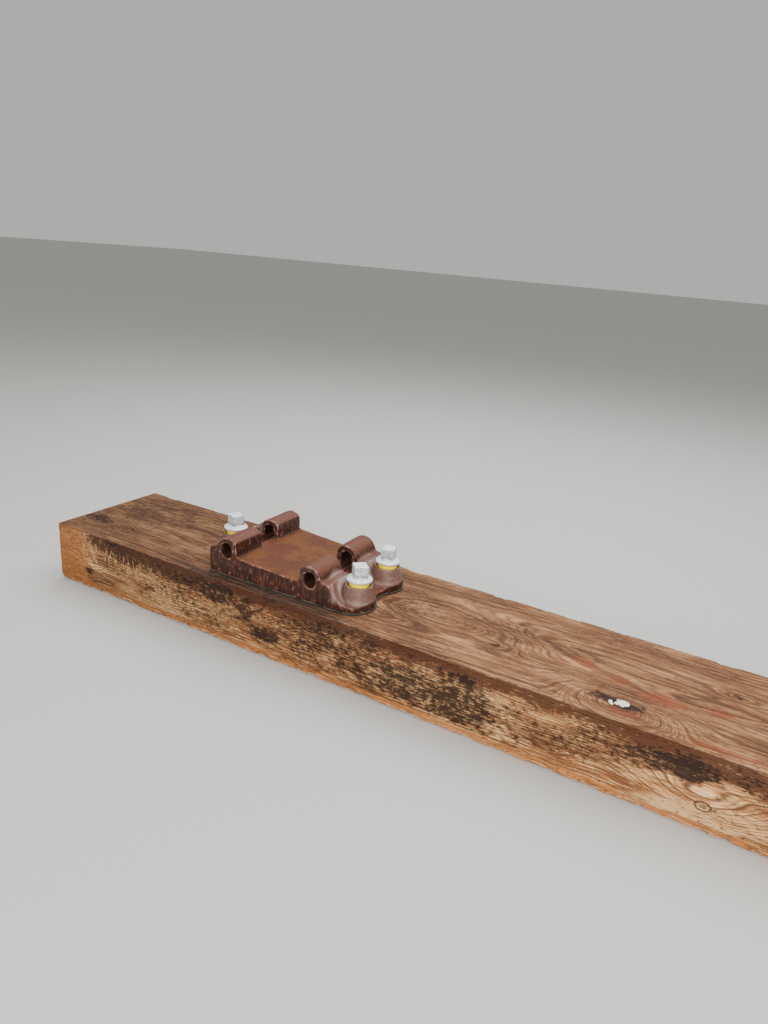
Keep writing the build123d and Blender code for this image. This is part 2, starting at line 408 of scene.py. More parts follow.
@dataclass(frozen=True)
class TimberFinish:
    """Preservative-treated softwood such as Douglas fir, sawn and left in the weather.

    The eye gets dark growth lines in straw-coloured early wood, black mould that catches on the
    raised fibres, and fresher orange wood where it was cut or torn last. The colours are those of
    the upright sawn faces, unless others are given.
    """

    name: str
    face: Face
    deep: str = "7c4a29"
    middle: str = "c48955"
    pale: str = "ffcb8e"
    line: str = "42210f"
    line_strength: float = 0.92
    fine_lines: float = 2.0
    fine_strength: float = 0.5
    stain: str = "231610"
    shade: str = "583926"
    fresh: str = "cf8348"
    fresh_cover: float = 0.85
    third: str = "40170b"
    gloom: float = 0.66
    relief: float = 1.0
    end_stain: float = 0.14

    def make(self, rings: GrowthRings) -> Material:
        """Builds the material.

        Args:
            rings: the growth rings that all the faces share.

        Returns:
            The material for this face.
        """
        finish = Finish(self.name)
        add, ease = finish.add, finish.ease
        fractal, product = finish.fractal, finish.product
        ring = rings.draw(finish, self.face)
        dark, clean, third, scraped = self.end_stain, 0.0, 0.0, 0.0
        if self.face is not Face.END:
            weather = add("Attribute", attribute_name="weather")
            dark, clean, third = add("SeparateColor", weather).node.outputs
            scraped = weather.node.outputs[3]
        # Cloudy changes of tone about 40 mm high and three times as long.
        cloud = add("VectorMath MULTIPLY", ring.bent, (0.3, 1, 1))
        broad = fractal(cloud, 40, 4.0, 0.62)
        tones = ((0.36, self.deep), (0.5, self.middle), (0.64, self.pale))
        colour = add("ValToRGB", broad, stops=tones)
        # Loose fibres, 3 mm across and 45 mm long, pale where they stand up and dark between.
        raised = ease(ring.fibre, 0.5, 0.64, 0.0, 0.9)
        sunken = ease(ring.fibre, 0.49, 0.35, 0.0, 0.85)
        # Specks 10 mm long and 5 mm high, with finer ones inside, break up the edge of every stain.
        dash = add("VectorMath MULTIPLY", ring.bent, (0.5, 1, 1))
        speck = fractal(dash, 5, 5.0, 0.75)
        loose = add("Math SUBTRACT", speck, 0.5)
        patch = fractal(dash, 26, 3.0, 0.55)
        patch = add("Math SUBTRACT", patch, 0.5)
        # Fresh wood keeps to whole growth rings, so its edge steps along the lines.
        whole = add("Math SUBTRACT", ring.tone, 0.5)
        whole = add("Math MULTIPLY_ADD", whole, 0.35, clean)
        whole = add("Math MULTIPLY_ADD", loose, 1.1, whole)
        bare = ease(whole, 0.34, 0.68, 0.0, self.fresh_cover)
        torn = ease(ring.fibre, 0.3, 0.7, 0.78, 1.3)
        fresh = add("VectorMath SCALE", linear(self.fresh)[:3], sockets={"Scale": torn})
        # The third tone, such as the dark band under the front's upper edge, ends in strands.
        strand = add("Math SUBTRACT", ring.fibre, 0.5)
        ragged = add("Math MULTIPLY_ADD", loose, 2.2, third)
        ragged = add("Math MULTIPLY_ADD", strand, 2.6, ragged)
        ragged = ease(ragged, 0.2, 0.85, 0.0, 0.93)
        # Late wood: dark lines, each ring with its own strength, faint in fresh wood.
        weakest, strongest = self.line_strength * 0.3, self.line_strength
        strength = add("MapRange", ring.tone, 0.0, 1.0, weakest, strongest)
        strength = product(ring.late, strength)
        faint = add("MapRange", bare, 0.0, 1.0, 1.0, 0.45)
        strength = product(strength, faint)
        # Finer lines inside each ring, as coarse as they need to show: about 3 mm apart on the
        # front, and 4 mm or more on the top. Pingpong counts two units to a line.
        hair = product(ring.turn, 2 * self.fine_lines)
        hair = add("Math PINGPONG", hair, 1.0)
        hair = ease(hair, 0.35, 0.95, 0.0, self.fine_strength)
        # Mould: a brown halo, then a nearly black core of specks that join up where it is thick.
        reach: Pattern = 0.0
        for part, weight in ((loose, 6.0), (patch, 2.2), (dark, 2.3), (ring.late, 0.3)):
            reach = add("Math MULTIPLY_ADD", part, weight, reach)
        halo = ease(reach, 0.3, 1.1, 0.0, 0.65)
        core = ease(reach, 1.0, 1.85, 0.0, 0.9)
        tint = product(ring.heart, 0.2)
        # Scratches: thin pale lines along the contours of a noise.
        drawn = add("VectorMath MULTIPLY", finish.mm, (1, 1, 0.35))
        drawn = fractal(drawn, 9, 2.0, 0.5)
        drawn = finish.gap(drawn, 0.5)
        drawn = ease(drawn, 0.022, 0.006, 0.0, 0.75)
        drawn = product(drawn, scraped)
        layers = [
            (raised, self.pale),
            (sunken, self.deep),
            (bare, fresh),
            (ragged, self.third),
            (strength, self.line),
            (hair, self.line),
            (halo, self.shade),
            (core, self.stain),
            (tint, self.shade),
            (ring.bark, self.stain),
            (drawn, self.pale),
        ]
        if self.face is Face.END:
            layers.append((rings.cracks(finish, ring.bent), self.stain))
        colour = finish.paint(colour, *layers)
        # Both ends of the timber are darker than its middle.
        out = add("Math ABSOLUTE", add("SeparateXYZ", finish.mm))
        gloom = add("MapRange", out, 250.0, 1150.0, 1.0, self.gloom)
        colour = add("VectorMath SCALE", colour, sockets={"Scale": gloom})
        height = add("Math MULTIPLY_ADD", ring.late, 0.5, ring.fibre)
        height = add("Math MULTIPLY_ADD", speck, 0.6, height)
        rough = add("MapRange", ring.fibre, 0.2, 0.8, 0.62, 0.8)
        return finish.close(colour, rough, height, self.relief, Specular_IOR_Level=0.2)


@dataclass(frozen=True)
class RustedIron:
    """Cast iron with a settled brown rust.

    Rust is a dull mineral skin, so it isn't metallic. It is orange-brown and grainy on the seat,
    mauve-brown on the crowns, satin and flecked on the bosses with painted sheen and glints, and
    dark and streaked on the sides, with painted shade there too.
    """

    seat: str = "55280e"
    ochre: str = "66390f"
    crown: str = "5f3322"
    boss: str = "6d4c43"
    # Colour of the upright sides: dark streaked rust, darkened further as painted shade.
    side: str = "2e150d"
    fleck: str = "8f6250"
    # Colour of the painted highlights and glints.
    shine: str = "c0a69c"
    pit: str = "1c0f0a"
    rub: str = "b08c7c"
    seat_end: float = 70.5
    flange: float = 143.0
    boss_reach: float = 40.0
    boss_fade: float = 12.0
    crescents: tuple[tuple[float, float], ...] = ((35.5, 0.7), (51.0, 0.5))

    def make(self, middle: float, bosses: Sequence[Vector]) -> Material:
        """Builds the material.

        Args:
            middle: where along the timber the middle of this plate's seat is, in millimetres.
            bosses: the screws' axes, each a point at height 0 in millimetres.

        Returns:
            The material.
        """
        finish = Finish("rusted cast iron")
        add, ease = finish.add, finish.ease
        paint, product = finish.paint, finish.product
        facing = finish.facing()
        along = add("SeparateXYZ", finish.mm)
        height = along.node.outputs[2]
        wear_and_painted_light = add("Attribute", attribute_name="wear_and_painted_light")
        edge_wear_and_highlight, hollow, inside = add("SeparateColor", wear_and_painted_light).node.outputs
        sizes = ((40, 4.0, 0.6), (9, 5.0, 0.7), (4.5, 3.0, 0.6), (2.2, 5.0, 0.72))
        broad, blotch, grain, grit = (
            finish.fractal(finish.mm, size, detail, share) for size, detail, share in sizes
        )
        hung = add("VectorMath MULTIPLY", finish.mm, (1, 1, 0.28))
        streak = finish.fractal(hung, 4, 5.0, 0.7)
        # The seat is everything level between the housings; beyond it the skin is as cast.
        aside = finish.gap(along, middle)
        beyond = ease(aside, self.seat_end - 2, self.seat_end + 2)
        seat = ease(broad, 0.4, 0.62)
        upper = paint(self.seat, (seat, self.ochre), (beyond, self.crown))
        mottle = add("MapRange", grain, 0.3, 0.7, 0.72, 1.3)
        upper = add("VectorMath SCALE", upper, sockets={"Scale": mottle})
        # On the sides rust hangs in streaks 4 mm across and 14 mm high.
        rise = ease(streak, 0.48, 0.62, 0.0, 0.8)
        light = ease(blotch, 0.5, 0.62, 0.0, 0.85)
        light = product(light, rise)
        sunk = ease(streak, 0.48, 0.36, 0.0, 0.85)
        sides_and_shade = paint(self.side, (rise, self.seat), (light, self.fleck), (sunk, self.pit))
        # Upright faces take the darker side colours: streaked rust, and painted shade.
        level = ease(facing, 0.3, 0.7)
        colour = paint(sides_and_shade, (level, upper))
        # Round each screw, above the flange, the skin is smoother and catches the light. Lighter bands
        # at the foot of each boss and on the ramp round it are painted highlights for the sheen there.
        plan = add("VectorMath MULTIPLY", finish.mm, (1, 1, 0))
        near: Pattern = 0.0
        painted_sheen: Pattern = 0.0
        for boss in bosses:
            away = add("VectorMath DISTANCE", plan, tuple(boss), output=1)
            for radius, strength in self.crescents:
                band = finish.gap(away, radius)
                band = ease(band, 6.5, 0.5, 0.0, strength)
                painted_sheen = add("Math MAXIMUM", painted_sheen, band)
            edge_out = self.boss_reach + self.boss_fade
            close = ease(away, edge_out, self.boss_reach)
            near = add("Math MAXIMUM", near, close)
        above = ease(height, self.flange + 1, self.flange + 7)
        near = product(near, above)
        sloped = ease(facing, 0.98, 0.8)
        lively = ease(broad, 0.38, 0.56, 0.3, 0.8)
        painted_sheen = product(painted_sheen, sloped, above, lively)
        # Painted glints: pale flecks of grit on steep faces near the screws.
        painted_glint = ease(grit, 0.53, 0.66, 0.0, 0.75)
        lit = ease(blotch, 0.4, 0.6, 0.1, 1.0)
        steep = ease(facing, 0.75, 0.3)
        painted_glint = product(painted_glint, lit, steep, near)
        dust = ease(grit, 0.56, 0.75, 0.0, 0.35)
        sand = ease(grit, 0.46, 0.3, 0.0, 0.7)
        # Concave hollows are painted darker with the pit colour.
        dirt = ease(hollow, 0.12, 0.5, 0.0, 0.75)
        # Convex edges and tunnel rims are lighter: rubbed rust, with a painted highlight on top.
        worn = add("Math MULTIPLY_ADD", blotch, 1.4, edge_wear_and_highlight)
        worn = ease(worn, 1.1, 1.55, 0.0, 0.62)
        # The tunnels' linings take the pit colour as painted shade.
        colour = paint(
            colour,
            (near, self.boss),
            (painted_sheen, self.shine),
            (painted_glint, self.shine),
            (dust, self.fleck),
            (sand, self.pit),
            (dirt, self.pit),
            (worn, self.rub),
            (inside, self.pit),
        )
        satin = add("MapRange", beyond, 0.0, 1.0, 0.6, 0.44)
        satin = add("Math MULTIPLY_ADD", near, -0.12, satin)
        rough = add("MapRange", grit, 0.35, 0.7, -0.04, 0.2)
        rough = add("Math ADD", rough, satin)
        relief = add("Math MULTIPLY_ADD", blotch, 1.2, grit)
        return finish.close(colour, rough, relief, 0.5, Specular_IOR_Level=0.32)


@dataclass(frozen=True)
class GalvanisedSteel:
    """Hot-dip zinc on steel: pale grey, faintly spangled, with a chalky white bloom and soft lumps."""

    zinc: str = "e6e9ec"
    # Grey of the zinc's mottle, and of the painted shade on upright faces.
    dull_and_shade: str = "a6adb3"
    # Colour of thin zinc, and of the painted shade where head meets flange.
    bare: str = "6f767c"
    chalk: str = "ffffff"

    def make(self) -> Material:
        """Builds the material.

        Returns:
            The material that all the screws share.
        """
        finish = Finish("galvanised steel")
        add, ease, fractal = finish.add, finish.ease, finish.fractal
        spangle = add("TexVoronoi", finish.mm, None, 1 / 4.5)
        cloud = fractal(finish.mm, 7, 4.0, 0.6)
        lump = fractal(finish.mm, 2.6, 3.0, 0.6)
        grey = ease(cloud, 0.46, 0.6, 0.0, 0.9)
        flake = ease(spangle, 0.2, 0.7, 0.0, 0.35)
        bloom = ease(lump, 0.48, 0.68, 0.0, 0.75)
        # Upright faces get painted shade, and the zinc on them is thin in patches.
        facing = finish.facing()
        steep = ease(facing, 0.6, 0.2, 0.0, 0.5)
        thin = fractal(finish.mm, 4, 4.0, 0.7)
        thin = ease(thin, 0.5, 0.62, 0.0, 1.3)
        thin = finish.product(thin, steep)
        # Painted shade where head and flange meet, and on the flange's lip.
        contact_shade = add("Attribute", attribute_name="contact_shade")
        corner_shade, lip = add("SeparateColor", contact_shade).node.outputs[:2]
        contact_shade = add("Math MULTIPLY_ADD", lip, 0.7, corner_shade)
        patchy = ease(cloud, 0.35, 0.6, 0.3, 0.85)
        contact_shade = finish.product(contact_shade, patchy)
        colour = finish.paint(
            self.zinc,
            (grey, self.dull_and_shade),
            (flake, self.chalk),
            (bloom, self.chalk),
            (steep, self.dull_and_shade),
            (thin, self.bare),
            (contact_shade, self.bare),
        )
        rough = add("MapRange", cloud, 0.3, 0.7, 0.36, 0.58)
        return finish.close(colour, rough, lump, 0.35, Metallic=0.15)


@dataclass(frozen=True)
class MouldedNylon:
    """Bright yellow moulded nylon with a soft gloss and a little dirt."""

    body: str = "ffe000"
    dirt: str = "c39a12"

    def make(self) -> Material:
        """Builds the material.

        Returns:
            The material that all the ferrules share.
        """
        finish = Finish("moulded nylon")
        smear = finish.fractal(finish.mm, 6, 4.0, 0.6)
        soiled = finish.ease(smear, 0.55, 0.8, 0.0, 0.5)
        colour = finish.paint(self.body, (soiled, self.dirt))
        rough = finish.add("MapRange", smear, 0.3, 0.7, 0.28, 0.45)
        return finish.close(colour, rough, smear, 0.1, Specular_IOR_Level=0.3)


@dataclass(frozen=True)
class PadRubber:
    """Black moulded rubber: dark at its edge, greyed by dust on the strip that shows from above."""

    body: str = "1d1a18"
    dust: str = "6f6153"

    def make(self) -> Material:
        """Builds the material.

        Returns:
            The material that both pads share.
        """
        finish = Finish("pad rubber")
        drift = finish.fractal(finish.mm, 14, 5.0, 0.7)
        facing = finish.facing()
        lying = finish.ease(drift, 0.4, 0.6, 0.2, 0.9)
        dusty = finish.ease(facing, 0.4, 0.9, 0.06, 1.0)
        dusty = finish.product(dusty, lying)
        colour = finish.paint(self.body, (dusty, self.dust))
        rough = finish.add("MapRange", drift, 0.3, 0.7, 0.55, 0.8)
        return finish.close(colour, rough, finish.fractal(finish.mm, 1.6), 0.15)


@dataclass(frozen=True)
class Resin:
    """Dried resin in a knot: chalky off-white crumbs."""

    body: str = "eeeae0"
    shade: str = "a99c88"

    def make(self) -> Material:
        """Builds the material.

        Returns:
            The material of the crumbs.
        """
        finish = Finish("dried resin")
        crumb = finish.fractal(finish.mm, 2.5, 4.0)
        hollow = finish.ease(crumb, 0.55, 0.35, 0.0, 0.5)
        colour = finish.paint(self.body, (hollow, self.shade))
        return finish.close(colour, 0.5, crumb, 0.4)


@dataclass(frozen=True)
class TornFibre:
    """Softwood fibres that hang from a torn edge: fresh orange-brown, with pale strands."""

    body: str = "a8683c"
    strand: str = "e2bd92"

    def make(self) -> Material:
        """Builds the material.

        Returns:
            The material of the fibres.
        """
        finish = Finish("torn fibre")
        strands = finish.add("VectorMath MULTIPLY", finish.mm, (0.1, 1, 1))
        streak = finish.fractal(strands, 1.5)
        colour = finish.paint(self.body, (streak, self.strand))
        return finish.close(colour, 0.75, streak, 0.1)


def spun(profile: Sequence[tuple[float, float]], middle: Vector, steps: int = 56) -> bmesh.types.BMesh:
    """Turns a profile round an upright axis.

    Args:
        profile: radius and height of each point, in millimetres.
        middle: a point on the axis, in metres.
        steps: how many steps the full turn has.

    Returns:
        A closed shape with its faces outwards.
    """
    turned = bmesh.new()
    points = [turned.verts.new((radius * MM, 0, height * MM)) for radius, height in profile]
    edges = [turned.edges.new(pair) for pair in zip(points, points[1:])]
    bmesh.ops.spin(
        turned,
        geom=points + edges,
        cent=(0, 0, 0),
        axis=(0, 0, 1),
        angle=math.tau,
        steps=steps,
        use_merge=True,
    )
    bmesh.ops.remove_doubles(turned, verts=turned.verts, dist=0.005 * MM)
    bmesh.ops.recalc_face_normals(turned, faces=turned.faces)
    bmesh.ops.translate(turned, verts=turned.verts, vec=(middle.x, middle.y, 0))
    return turned


def put(name: str, data: bpy.types.ID) -> bpy.types.Object:
    """Puts something new into the scene.

    Args:
        name: the object's name.
        data: its mesh, lamp or camera.

    Returns:
        The object.
    """
    made = bpy.data.objects.new(name, data)
    bpy.context.scene.collection.objects.link(made)
    return made


def as_mesh(name: str, shape: bmesh.types.BMesh) -> bpy.types.Mesh:
    """Writes a bmesh to a new mesh and frees it.

    Args:
        name: the mesh's name.
        shape: the bmesh.

    Returns:
        The mesh.
    """
    mesh = bpy.data.meshes.new(name)
    shape.to_mesh(mesh)
    shape.free()
    return mesh


def add_piece(
    name: str,
    shape: bmesh.types.BMesh,
    material: Material | Sequence[Material],
    node: str = "",
    crease: float = 0.0,
) -> bpy.types.Object:
    """Turns a finished bmesh into a piece of the sleeper.

    Args:
        name: the piece's name.
        shape: its shape, which is freed.
        material: its material, or several in slot order.
        node: the CAD node that it replaces, if any.
        crease: the angle in degrees from which its smooth skin has sharp edges, 0 to leave it.

    Returns:
        The object, riding on the body.
    """
    if crease:
        for item in shape.faces:
            item.smooth = True
    mesh = as_mesh(name, shape)
    piece = put(name, mesh)
    for look in (material,) if isinstance(material, Material) else material:
        mesh.materials.append(look)
    if crease:
        mesh.set_sharp_from_angle(angle=math.radians(crease))
    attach(piece, BODY)
    if node:
        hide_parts(node)
    log.info("%s: %d faces", name, len(mesh.polygons))
    return piece


@dataclass
class Timber:
    """The sawn timber, with worn arrises, a torn lower edge, knots and stains."""

    node: str = "timber"
    pads: tuple[str, ...] = ("pad_left", "pad_right")
    pad_margin: float = 2.0
    rings: GrowthRings = GrowthRings()
    arris: float = 3.0
    pitch_along: float = 5.2
    pitch_across: float = 7.0
    extra_cuts: tuple[float, ...] = (5.5, 8.0, 13.0)
    skin: float = 0.9
    end_skin: float = 0.7
    worn: float = 2.6
    worn_height: float = 12.0
    torn: float = 2.0
    torn_more: float = 4.5
    torn_height: float = 14.0
    fibre_count: int = 150
    crumb_count: int = 16
    knot_x: float = -106.0
    knot_y: float = -94.0
    dark_spots: tuple[Spot, ...] = (
        on(
            Spot, Face.TOP,
            (-760, -131, 210, 13, 0.3), (-500, -10, 60, 75, 0.25), (-112, -91, 44, 13, 0.85),
            (-324, -45, 13, 9, 0.6), (49, 40, 13, 9, 0.6), (-1256, -61, 40, 17, 0.65),
            (-1180, 40, 130, 90, 0.25), (510, 10, 60, 75, 0.3), (760, -131, 210, 13, 0.3),
        )
        + on(
            Spot, Face.FRONT,
            (-1207, 42, 13, 8, 0.85), (-777, 66, 26, 10, 0.62), (-1070, 112, 150, 26, 0.45),
            (-900, 104, 100, 20, 0.5), (-860, 100, 60, 22, 0.74), (-777, 92, 44, 26, 0.6),
            (-735, 50, 48, 20, 0.76), (-690, 80, 60, 40, 0.5), (-720, 122, 40, 9, 0.6),
            (-1120, 70, 90, 25, 0.2), (-920, 60, 150, 40, 0.32), (-620, 72, 110, 56, 0.5),
            (-520, 70, 110, 58, 0.56), (-400, 64, 100, 58, 0.68), (-345, 64, 75, 56, 0.74),
            (-250, 62, 70, 42, 0.46), (-165, 66, 75, 34, 0.38), (-85, 90, 90, 24, 0.54),
            (-8, 95, 70, 25, 0.86), (95, 108, 100, 20, 0.5), (330, 70, 120, 40, 0.5),
            (620, 90, 110, 34, 0.6), (900, 60, 140, 40, 0.45),
        )
        + on(
            Spot, Face.BACK,
            (-700, 70, 260, 50, 0.45), (200, 60, 220, 45, 0.4), (900, 80, 160, 40, 0.5),
        )
    )
    fresh_spots: tuple[Spot, ...] = (
        on(Spot, Face.FRONT, (-1262, 60, 66, 120, 1.0))
        + on(
            Spot, Face.TOP,
            (-181, -8, 26, 15, 0.85), (-120, -25, 22, 12, 0.85), (-56, -45, 44, 17, 0.85),
            (27, -23, 26, 14, 0.85), (-92, -113, 36, 8, 0.7), (-218, -24, 18, 9, 0.7),
            (80, -124, 160, 13, 0.62), (470, -60, 50, 12, 0.7), (900, 60, 60, 14, 0.65),
        )
    )
    third_spots: tuple[Spot, ...] = (
        on(Spot, Face.TOP, (-760, -129, 230, 17, 0.9), (760, -129, 230, 17, 0.8))
        + on(
            Spot, Face.FRONT,
            (-590, 112, 14, 22, 0.8), (-540, 116, 22, 16, 0.7), (-372, 112, 20, 16, 0.7),
        )
    )
    scraped_spots: tuple[Spot, ...] = on(
        Spot, Face.FRONT,
        (-1190, 95, 50, 30, 1.0), (-1080, 88, 90, 20, 0.9), (700, 60, 80, 30, 0.7),
    )

    def weather(self, face: Face, along: float, up: float) -> Colour:
        """Says how stained, how fresh, how toned and how scraped a point of a face is.

        Args:
            face: the side of the timber.
            along: the place along the timber.
            up: the place across the face.

        Returns:
            Dark stain, fresh wood, third tone and scrapes, each from 0 to 1.
        """
        wobble = 0.35 * ripple(along / 35, up / 18, 0, 3.0) + 0.2 * ripple(along / 11, up / 7, 0, 9.0)
        sums = []
        for spots in (self.dark_spots, self.fresh_spots, self.third_spots, self.scraped_spots):
            total = 0.0
            for spot in spots:
                if spot.face is face:
                    x, y = (along - spot.along) / spot.half_along, (up - spot.up) / spot.half_up
                    away = math.hypot(x, y) + wobble
                    total = max(total, spot.strength * smooth(away, 1.25, 0.55))
            sums.append(total)
        dark, fresh, third, scraped = sums
        if face in (Face.FRONT, Face.BACK):
            # A clean strip along the foot, and a dark band that hangs from the upper edge, both
            # with an uneven border. The band starts a little way in from the left end.
            foot = 15 + 5 * ripple(along / 90, 0, 0, 5.0) + 3 * ripple(along / 14, 0, 0, 6.0)
            drop = 22 + 20 * math.exp(-(((along + 1040) / 120) ** 2)) + 10 * smooth(along, -160, 20)
            brow = 130 - drop - 8 * ripple(along / 90, 0, 0, 7.0) - 4 * ripple(along / 14, 0, 0, 8.0)
            begun = smooth(along, -1235, -1180)
            fresh = max(fresh, smooth(up, foot + 6, foot - 5))
            fresh *= 1 - smooth(up, brow - 6, brow + 6) * begun
            third = max(third, smooth(up, brow - 16, brow + 10) * begun)
            dark *= 1 - 0.9 * smooth(up, foot + 8, foot - 2)
        return dark, fresh, third, scraped

    def tear(self, x: float, z: float) -> float:
        """Says how deep the lower front edge is torn at a place, in millimetres."""
        ragged = ripple(x / 28, 0, 0, 21.0) + 0.6 * ripple(x / 7, z / 5, 0, 22.0)
        return self.torn + self.torn_more * smooth(ragged, -0.3, 0.8)

    def shape(self) -> bmesh.types.BMesh:
        """Cuts the block to a fine grid with rounded long edges.

        Returns:
            The block, in metres and in its place.
        """
        low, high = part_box(self.node)
        size = high - low
        place = Matrix.Translation((low + high) / 2) @ Matrix.Diagonal((*size, 1))
        block = bmesh.new()
        bmesh.ops.create_cube(block, size=1.0, matrix=place)

        def long_edges() -> list[bmesh.types.BMEdge]:
            """Picks the edges that run from end to end."""
            return [e for e in block.edges if abs(e.verts[0].co.x - e.verts[1].co.x) > size.x / 2]

        bmesh.ops.bevel(
            block,
            geom=long_edges(),
            offset=self.arris * MM,
            segments=3,
            profile=0.5,
            affect="EDGES",
            material=-1,
        )
        for axis in (1, 2):
            start, stop = low[axis] + self.arris * MM, high[axis] - self.arris * MM
            count = round((stop - start) / (self.pitch_across * MM))
            cuts = [start + (stop - start) * i / count for i in range(1, count)]
            cuts += [low[axis] + extra * MM for extra in self.extra_cuts]
            for cut in sorted(cuts):
                way = Vector((0, 0, 0))
                way[axis] = 1
                parts = block.verts[:] + block.edges[:] + block.faces[:]
                bmesh.ops.bisect_plane(block, geom=parts, plane_co=way * cut, plane_no=way)
        along = round(size.x / (self.pitch_along * MM)) - 1
        bmesh.ops.subdivide_edges(block, edges=long_edges(), cuts=along, use_grid_fill=True)
        return block

    def age(self, block: bmesh.types.BMesh) -> None:
        """Moves the skin inwards: an uneven face, worn arrises and the torn lower front edge.

        Args:
            block: the timber's grid, whose points move.
        """
        low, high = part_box(self.node)
        margin = self.pad_margin * MM
        pads = [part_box(name) for name in self.pads]
        for vert in block.verts:
            x, y, z = (c / MM for c in vert.co)
            front, back = y - low.y / MM, high.y / MM - y
            foot, crown = z - low.z / MM, high.z / MM - z
            covered = any(
                a.x - margin < vert.co.x < b.x + margin and a.y - margin < vert.co.y < b.y + margin
                for a, b in pads
            )
            skin = self.skin * (0.5 + 0.5 * ripple(x / 70, y / 16, z / 16))
            shift = Vector((0, 0, 0))
            if crown < 0.1 and not covered:
                shift.z -= skin
            if front < 0.1:
                shift.y += skin
            if back < 0.1:
                shift.y -= skin
            for gap, way, seed in ((x - low.x / MM, 1, 4.0), (high.x / MM - x, -1, 5.0)):
                if gap < 0.1:
                    shift.x += way * self.end_skin * (0.5 + 0.5 * ripple(y / 6, z / 6, 0, seed))
            rub = ripple(x / 45, 0, 0, 11.0) + 0.5 * ripple(x / 9, 0, 0, 12.0)
            worn = self.worn * smooth(rub, -0.2, 0.9)
            for gap, way in ((front, 1), (back, -1)):
                rounded = worn * smooth(gap + crown, self.worn_height, 2)
                shift.y += way * rounded
                shift.z -= rounded
            tear = self.tear(x, z)
            shift.y += tear * smooth(front + 0.8 * foot, self.torn_height, 1)
            shift.z += 0.45 * tear * smooth(front + foot, self.torn_height, 1)
            vert.co += shift * MM

    def build(self) -> None:
        """Makes the timber, its torn fibres and the resin in its knot."""
        block = self.shape()
        low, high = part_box(self.node)
        layer = block.verts.layers.float_color.new("weather")
        block.normal_update()
        for vert in block.verts:
            x, y, z = (c / MM for c in vert.co)
            gaps = {
                Face.TOP: high.z / MM - z,
                Face.FRONT: y - low.y / MM,
                Face.BACK: high.y / MM - y,
                Face.UNDERSIDE: z - low.z / MM,
            }
            face = min(gaps, key=gaps.get)
            vert[layer] = self.weather(face, x, y if face in (Face.TOP, Face.UNDERSIDE) else z)
        for item in block.faces:
            normal = item.normal
            side = Face.FRONT if normal.y < 0 else Face.BACK
            if abs(normal.x) > 0.7:
                side = Face.END
            elif abs(normal.z) > 0.7:
                side = Face.TOP if normal.z > 0 else Face.UNDERSIDE
            item.material_index = side.value
        self.age(block)
        add_piece("weathered_timber", block, self.finishes(), self.node, crease=38)
        self.fibres()
        self.resin()

    def finishes(self) -> list[Material]:
        """Makes the materials of the timber's faces.

        Returns:
            The materials in the order of Face.
        """
        top = {
            "deep": "64402a",
            "middle": "8b5c3a",
            "pale": "b6865c",
            "line": "3c2216",
            "line_strength": 0.86,
            "fine_lines": 2.5,
            "stain": "251812",
            "shade": "4f3325",
            "fresh": "92431f",
            "fresh_cover": 0.6,
            "third": "5c4c40",
            "gloom": 0.56,
            "relief": 0.7,
        }
        ends = {"deep": "754a30", "middle": "94633f", "pale": "b5835a", "line": "3a2015"}
        looks = (
            TimberFinish("weathered timber top", Face.TOP, **top),
            TimberFinish("sawn timber front", Face.FRONT),
            TimberFinish("sawn timber back", Face.BACK),
            TimberFinish("sawn timber underside", Face.UNDERSIDE),
            TimberFinish("timber end grain", Face.END, **ends),
        )
        return [look.make(self.rings) for look in looks]

    def fibres(self) -> None:
        """Adds the torn fibres that hang along the lower front edge."""
        dice = random.Random(7)
        low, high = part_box(self.node)
        tuft = bmesh.new()
        for _ in range(self.fibre_count):
            x = dice.uniform(low.x + 0.03, high.x - 0.03)
            z = low.z + dice.uniform(3.2, 9.5) * MM
            length = dice.uniform(9, 28) * MM
            lean = Matrix.Rotation(math.radians(90 + dice.uniform(-6, 6)), 4, "Y")
            # Each fibre lies on the torn skin, and at least 1.2 mm behind the sawn face.
            depth = self.tear(x / MM, z / MM) * smooth(0.8 * (z - low.z) / MM, self.torn_height, 1)
            y = low.y + max(1.2, depth + dice.uniform(-1.1, 0.2)) * MM
            bmesh.ops.create_cone(
                tuft,
                cap_ends=True,
                segments=4,
                radius1=dice.uniform(0.5, 1.1) * MM,
                radius2=0.1 * MM,
                depth=length,
                matrix=Matrix.Translation((x, y, z)) @ lean,
            )
        add_piece("torn_fibres", tuft, TornFibre().make())

    def resin(self) -> None:
        """Adds the dried resin that sits in the large knot of the top."""
        dice = random.Random(3)
        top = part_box(self.node)[1].z
        crust = bmesh.new()
        for _ in range(self.crumb_count):
            across, along = dice.gauss(0, 4.4), dice.gauss(0, 6.0)
            size = dice.uniform(1.6, 3.6) * MM
            flat = Matrix.Diagonal((dice.uniform(1.0, 1.9), 1.0, 0.45, 1))
            turn = Matrix.Rotation(dice.uniform(0, math.pi), 4, "Z")
            x, y = (self.knot_x + along) * MM, (self.knot_y + across) * MM
            place = Matrix.Translation((x, y, top + 0.1 * size)) @ turn @ flat
            bmesh.ops.create_icosphere(crust, subdivisions=2, radius=size, matrix=place)
        for vert in crust.verts:
            x, y, z = (c / MM for c in vert.co)
            vert.co += Vector((ripple(x, y, z), ripple(y, z, x), 0.5 * ripple(z, x, y))) * 0.6 * MM
        add_piece("knot_resin", crust, Resin().make())


